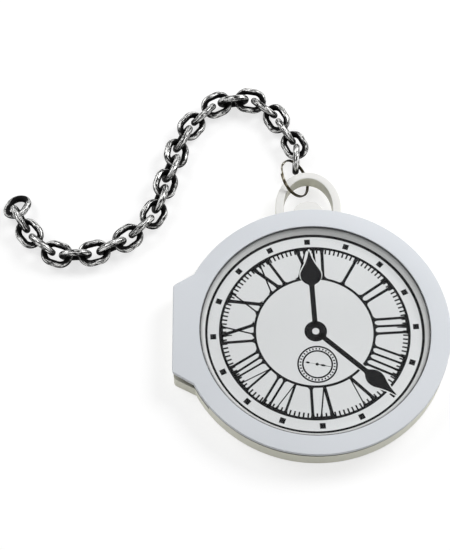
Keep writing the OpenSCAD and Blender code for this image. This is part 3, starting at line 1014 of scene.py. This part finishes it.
link_tree, link_size = sized_tree("hammered_link", {
    "Wire radius": WIRE_RADIUS * MM, "Crown at": CROWN_AT * MM, "Bar at": BAR_AT * MM,
    "Hammer depth": 0.13 * MM, "Hammering": 0.0})
link_outline = step(link_tree, "GeometryNodeCurvePrimitiveQuadrilateral", {
    "Width": calculate("MULTIPLY", link_size["Crown at"], 2.0),
    "Height": calculate("MULTIPLY", link_size["Bar at"], 2.0)})
link_oval = step(link_tree, "GeometryNodeFilletCurve", {
    "Curve": link_outline.outputs[0], "Count": 24,
    "Radius": calculate("MULTIPLY", link_size["Bar at"], CORNER_SHARE)}, mode="POLY")
link_path = step(link_tree, "GeometryNodeResampleCurve", {
    "Curve": link_oval.outputs[0], "Count": 150})
link_path = step(link_tree, "GeometryNodeSetCurveNormal", {
    "Curve": link_path.outputs[0]}, mode="Z_UP")
link_held = step(link_tree, "GeometryNodeCaptureAttribute", {
    "Geometry": link_path.outputs[0]}, domain="POINT")
link_held.capture_items.new("FLOAT", "run")
feed(link_held, {1: step(link_tree, "GeometryNodeSplineParameter").outputs["Length"]})
link_round = step(link_tree, "GeometryNodeCurvePrimitiveCircle", {
    "Resolution": 40, "Radius": link_size["Wire radius"]})
link_tube = step(link_tree, "GeometryNodeCurveToMesh", {
    "Curve": link_held.outputs[0], "Profile Curve": link_round.outputs[0]})
# Where a point lies across the wire: outwards from the link's middle line, and up
link_point = step(link_tree, "GeometryNodeInputPosition").outputs[0]
link_xyz = step(link_tree, "ShaderNodeSeparateXYZ", {"Vector": link_point}).outputs
bar_half = calculate("SUBTRACT", link_size["Crown at"], link_size["Bar at"])
core_x = calculate("MAXIMUM", calculate("MINIMUM", link_xyz["X"], bar_half),
                   calculate("MULTIPLY", bar_half, -1.0))
from_core = calculate("SUBTRACT", link_xyz["X"], core_x)
core_distance = calculate("SQRT", calculate(
    "ADD", calculate("MULTIPLY", from_core, from_core),
    calculate("MULTIPLY", link_xyz["Y"], link_xyz["Y"])))
outwards = calculate("SUBTRACT", core_distance, link_size["Bar at"])
link_inner_and_tip_shade = calculate(
    "DIVIDE", calculate("MULTIPLY", outwards, -1.0), link_size["Wire radius"])
# Painted shade: towards the crown's tip, where the next link hides it, the black reaches further
# round
link_tip_shade = calculate("DIVIDE", calculate("ABSOLUTE", from_core), link_size["Bar at"])
link_inner_and_tip_shade = calculate(
    "MULTIPLY_ADD", calculate("POWER", link_tip_shade, TIP_CURVE), TIP_REACH, link_inner_and_tip_shade)
link_along = calculate("MULTIPLY", link_held.outputs[1], 1 / MM)
link_place = joined_xyz(
    link_tree, X=calculate(
        "ADD", link_along, calculate("MULTIPLY", link_size["Hammering"], LINK_SHIFT)),
    Y=calculate("MULTIPLY", outwards, 1 / MM), Z=calculate("MULTIPLY", link_xyz["Z"], 1 / MM))
# The inside attribute holds the inner patina and the painted shade at the crowns' tips
link_marked = step(link_tree, "GeometryNodeStoreNamedAttribute", {
    "Geometry": link_tube.outputs[0], "Name": "inside", "Value": link_inner_and_tip_shade},
    data_type="FLOAT", domain="POINT")
link_marked = step(link_tree, "GeometryNodeStoreNamedAttribute", {
    "Geometry": link_marked.outputs[0], "Name": "run", "Value": link_place},
    data_type="FLOAT_VECTOR", domain="POINT")
# Hammer flats and long ridges, cut inwards only, so that the links keep their play
flat_map = vector_step("MULTIPLY", link_place, (0.42, 1.0, 1.0))
flats = step(link_tree, "ShaderNodeTexVoronoi", {
    "Vector": flat_map, "Scale": 0.42, "Smoothness": 0.35}, feature="SMOOTH_F1")
ridges = grain(flat_map, 0.75, 2.0)
cut = calculate("MULTIPLY", calculate(
    "ADD", calculate("MULTIPLY", flats.outputs["Distance"], FLAT_SHARE),
    calculate("MULTIPLY", ridges, RIDGE_SHARE)), link_size["Hammer depth"])
cut = calculate("MINIMUM", cut, calculate("MULTIPLY", link_size["Hammer depth"], DEEPEST_CUT))
link_normal = step(link_tree, "GeometryNodeInputNormal").outputs[0]
inwards = step(link_tree, "ShaderNodeVectorMath", {
    0: link_normal, "Scale": calculate("MULTIPLY", cut, -1.0)}, operation="SCALE")
link_hammered = step(link_tree, "GeometryNodeSetPosition", {
    "Geometry": link_marked.outputs[0], "Offset": inwards.outputs[0]})
link_smooth = step(link_tree, "GeometryNodeSetShadeSmooth", {"Geometry": link_hammered.outputs[0]})
ended(link_tree, link_smooth.outputs[0], antique_silver)


def link_pose(node):
    """Where a CAD link lies: its middle and its three axes, from its solid's own inertia."""
    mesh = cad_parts[node].data
    mesh.calc_loop_triangles()
    points = np.array([v.co[:] for v in mesh.vertices])
    corners = points[np.array([t.vertices[:] for t in mesh.loop_triangles])]
    middle = (points.min(0) + points.max(0)) / 2
    a, b, c = (corners[:, k] - middle for k in range(3))
    volumes = np.einsum("ij,ij->i", a, np.cross(b, c))
    total = a + b + c
    first = (volumes[:, None] * total).sum(0) / (4 * volumes.sum())
    spread = sum(np.einsum("n,ni,nj->ij", volumes, p, p) for p in (total, a, b, c)) / 20
    spread = spread / volumes.sum() - np.outer(first, first)
    _, axes = np.linalg.eigh(spread)
    long_axis, wide_axis = axes[:, 2], axes[:, 1]
    up = np.cross(long_axis, wide_axis)
    place = Matrix((long_axis, wide_axis, up)).transposed().to_4x4()
    place.translation = Vector(middle + first)
    return place


for number in range(1, LINKS + 1):
    node = f"link_{number:02d}"
    link = grown(node + "_hammered", link_tree, {"Hammering": float(number)}, link_pose(node))
    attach(link, node)
    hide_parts(node)
